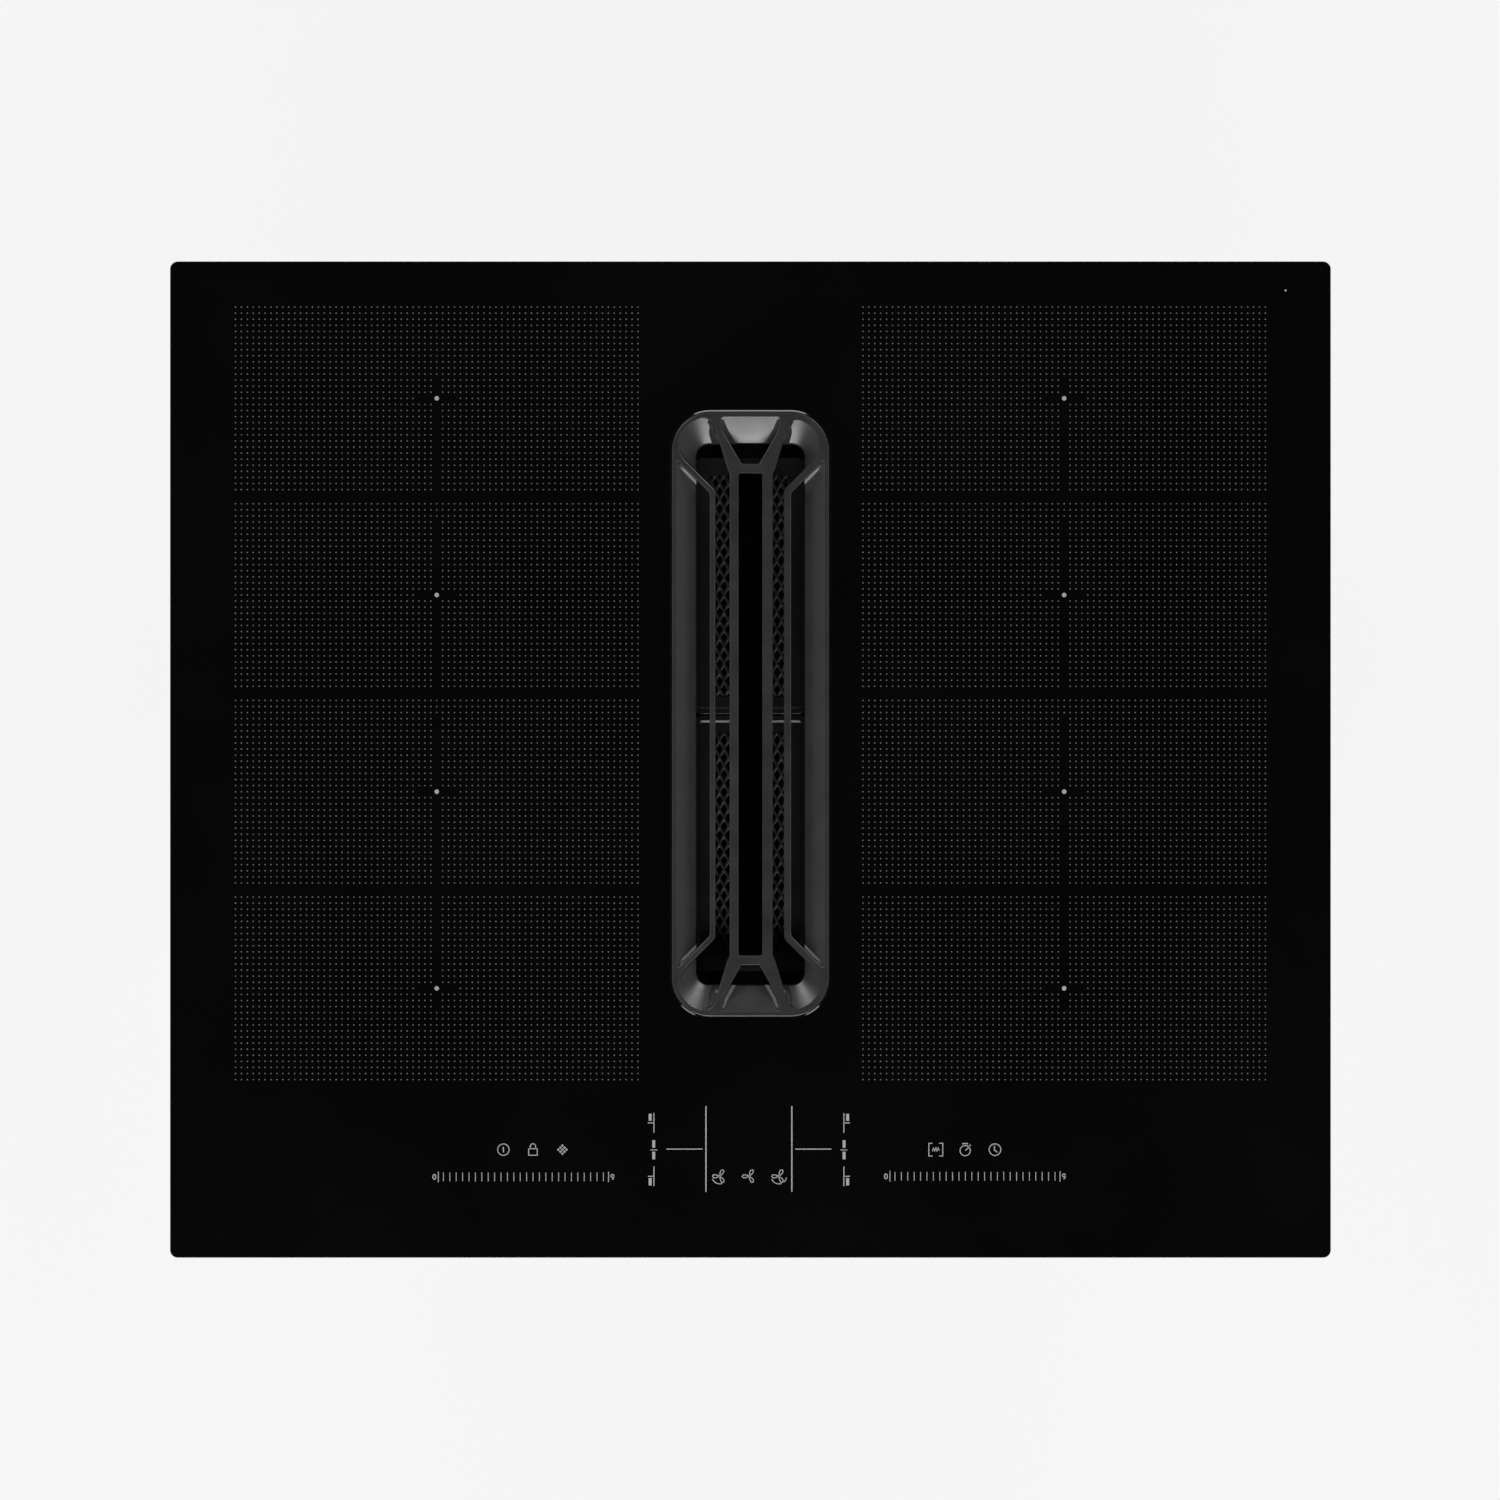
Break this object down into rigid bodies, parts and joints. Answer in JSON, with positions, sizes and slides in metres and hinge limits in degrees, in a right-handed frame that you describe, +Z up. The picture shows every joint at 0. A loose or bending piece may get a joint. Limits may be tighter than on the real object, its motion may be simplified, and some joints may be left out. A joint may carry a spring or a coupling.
{
  "type": "downdraft induction cooktop",
  "caption": "Built-in induction cooktop: black glass plate with printed fields and slider controls, a lift-out intake grille over filters, and a fan case with a duct outlet below.",
  "frame": {"origin": "centre of the glass plate's outline, on the plane of the fan case's foot", "axes": "+X to the user's right, +Y to the rear, +Z up out of the glass"},
  "size_m": [0.6, 0.515, 0.21],
  "materials": {
    "ceramic_glass": "polished black glass-ceramic",
    "sealant": "cured black silicone",
    "bare_aluminium": "mill finish",
    "foam": "closed-cell foam",
    "black_plastic": "matte moulded",
    "grille_coat": "satin black coat on a casting",
    "inlay": "matte black",
    "silicone": "soft matte",
    "tray_plastic": "matte moulded",
    "zinc_sheet": "galvanised sheet",
    "capacitor_sleeve": "shrink sleeve",
    "copper_wire": "varnished copper wire",
    "pale_plastic": "matte moulded",
    "circuit_board": "solder mask",
    "spring_brass": "plated wire",
    "case_plastic": "fine-grained moulded",
    "impeller_plastic": "glass-filled moulded",
    "motor_metal": "die-cast",
    "zinc_screw": "bright zinc plated",
    "filter_steel": "dark stainless sheet",
    "filter_mesh": "dull expanded metal",
    "ferrite": "sintered",
    "mica": "pressed mica sheet"
  },
  "bodies": {
    "cooktop": {"glass_plate": "ceramic_glass", "glass_adhesive": "sealant", "glass_frame": "bare_aluminium", "worktop_seal": "foam", "intake_collar": "black_plastic", "intake_shaft": "black_plastic", "case_gasket": "foam", "base_tray": "zinc_sheet", "coil_plate_left": "bare_aluminium", "coil_plate_right": "bare_aluminium", "coil_left_1": "copper_wire", "coil_left_2": "copper_wire", "coil_left_3": "copper_wire", "coil_left_4": "copper_wire", "coil_right_1": "copper_wire", "coil_right_2": "copper_wire", "coil_right_3": "copper_wire", "coil_right_4": "copper_wire", "coil_carrier_left": "pale_plastic", "coil_carrier_right": "pale_plastic", "ferrite_bars_left": "ferrite", "ferrite_bars_right": "ferrite", "mica_sheet_left": "mica", "mica_sheet_right": "mica", "power_board_left": "circuit_board", "power_board_right": "circuit_board", "heat_sink_left": "bare_aluminium", "heat_sink_right": "bare_aluminium", "board_capacitors": "capacitor_sleeve", "board_chokes": "copper_wire", "control_carrier": "pale_plastic", "control_board": "circuit_board", "touch_springs": "spring_brass", "cooling_housing_left": "case_plastic", "cooling_housing_right": "case_plastic", "terminal_box": "black_plastic", "fan_case_lower": "case_plastic", "fan_case_upper": "case_plastic", "inlet_bell": "case_plastic", "fan_motor": "motor_metal", "outlet_spigot": "case_plastic", "assembly_screws": "zinc_screw"},
    "grille": {"grille": "grille_coat", "grille_inlay": "inlay", "grille_pads": "silicone"},
    "filter_front": {"filter_frame_front": "filter_steel", "filter_mesh_front": "filter_mesh", "filter_handle_front": "filter_steel"},
    "filter_rear": {"filter_frame_rear": "filter_steel", "filter_mesh_rear": "filter_mesh", "filter_handle_rear": "filter_steel"},
    "drip_tray": {"drip_tray": "tray_plastic"},
    "impeller": {"impeller": "impeller_plastic"},
    "cooling_rotor_left": {"cooling_rotor_left": "impeller_plastic"},
    "cooling_rotor_right": {"cooling_rotor_right": "impeller_plastic"},
    "flap": {"backflow_flap": "impeller_plastic"},
    "clamp_1": {"worktop_clamp_1": "zinc_sheet"},
    "clamp_2": {"worktop_clamp_2": "zinc_sheet"},
    "clamp_3": {"worktop_clamp_3": "zinc_sheet"},
    "clamp_4": {"worktop_clamp_4": "zinc_sheet"}
  },
  "joints": [
    {"name": "grille_lift", "type": "slide", "parent": "cooktop", "child": "grille", "axis": [0, 0, 1], "range_m": [0, 0.3]},
    {"name": "filter_front_lift", "type": "slide", "parent": "cooktop", "child": "filter_front", "axis": [0, 0, 1], "range_m": [0, 0.2]},
    {"name": "filter_rear_lift", "type": "slide", "parent": "cooktop", "child": "filter_rear", "axis": [0, 0, 1], "range_m": [0, 0.2]},
    {"name": "drip_tray_lift", "type": "slide", "parent": "cooktop", "child": "drip_tray", "axis": [0, 0, 1], "range_m": [0, 0.14]},
    {"name": "fan_spin", "type": "hinge", "parent": "cooktop", "child": "impeller", "pos_m": [0, -0.01, 0.03], "axis": [0, 0, 1], "continuous": true},
    {"name": "cooling_spin_left", "type": "hinge", "parent": "cooktop", "child": "cooling_rotor_left", "pos_m": [-0.16235, 0.1778, 0.165], "axis": [0, 0, 1], "continuous": true},
    {"name": "cooling_spin_right", "type": "hinge", "parent": "cooktop", "child": "cooling_rotor_right", "pos_m": [0.16235, 0.1778, 0.165], "axis": [0, 0, 1], "continuous": true},
    {"name": "flap_swing", "type": "hinge", "parent": "cooktop", "child": "flap", "pos_m": [0.069, 0.1573, 0.082], "axis": [1, 0, 0], "range_deg": [0, 75]},
    {"name": "clamp_swivel_1", "type": "hinge", "parent": "cooktop", "child": "clamp_1", "pos_m": [-0.263, -0.19926, 0.1485], "axis": [0, 0, 1], "range_deg": [0, 90]},
    {"name": "clamp_swivel_2", "type": "hinge", "parent": "cooktop", "child": "clamp_2", "pos_m": [0.263, -0.19926, 0.1485], "axis": [0, 0, 1], "range_deg": [-90, 0]},
    {"name": "clamp_swivel_3", "type": "hinge", "parent": "cooktop", "child": "clamp_3", "pos_m": [0.263, 0.19926, 0.1485], "axis": [0, 0, 1], "range_deg": [0, 90]},
    {"name": "clamp_swivel_4", "type": "hinge", "parent": "cooktop", "child": "clamp_4", "pos_m": [-0.263, 0.19926, 0.1485], "axis": [0, 0, 1], "range_deg": [-90, 0]}
  ],
  "couplings": [
    {"joint": "filter_front_lift", "follows": "grille_lift", "ratio": 0.65},
    {"joint": "filter_rear_lift", "follows": "grille_lift", "ratio": 0.65},
    {"joint": "drip_tray_lift", "follows": "grille_lift", "ratio": 0.45}
  ]
}
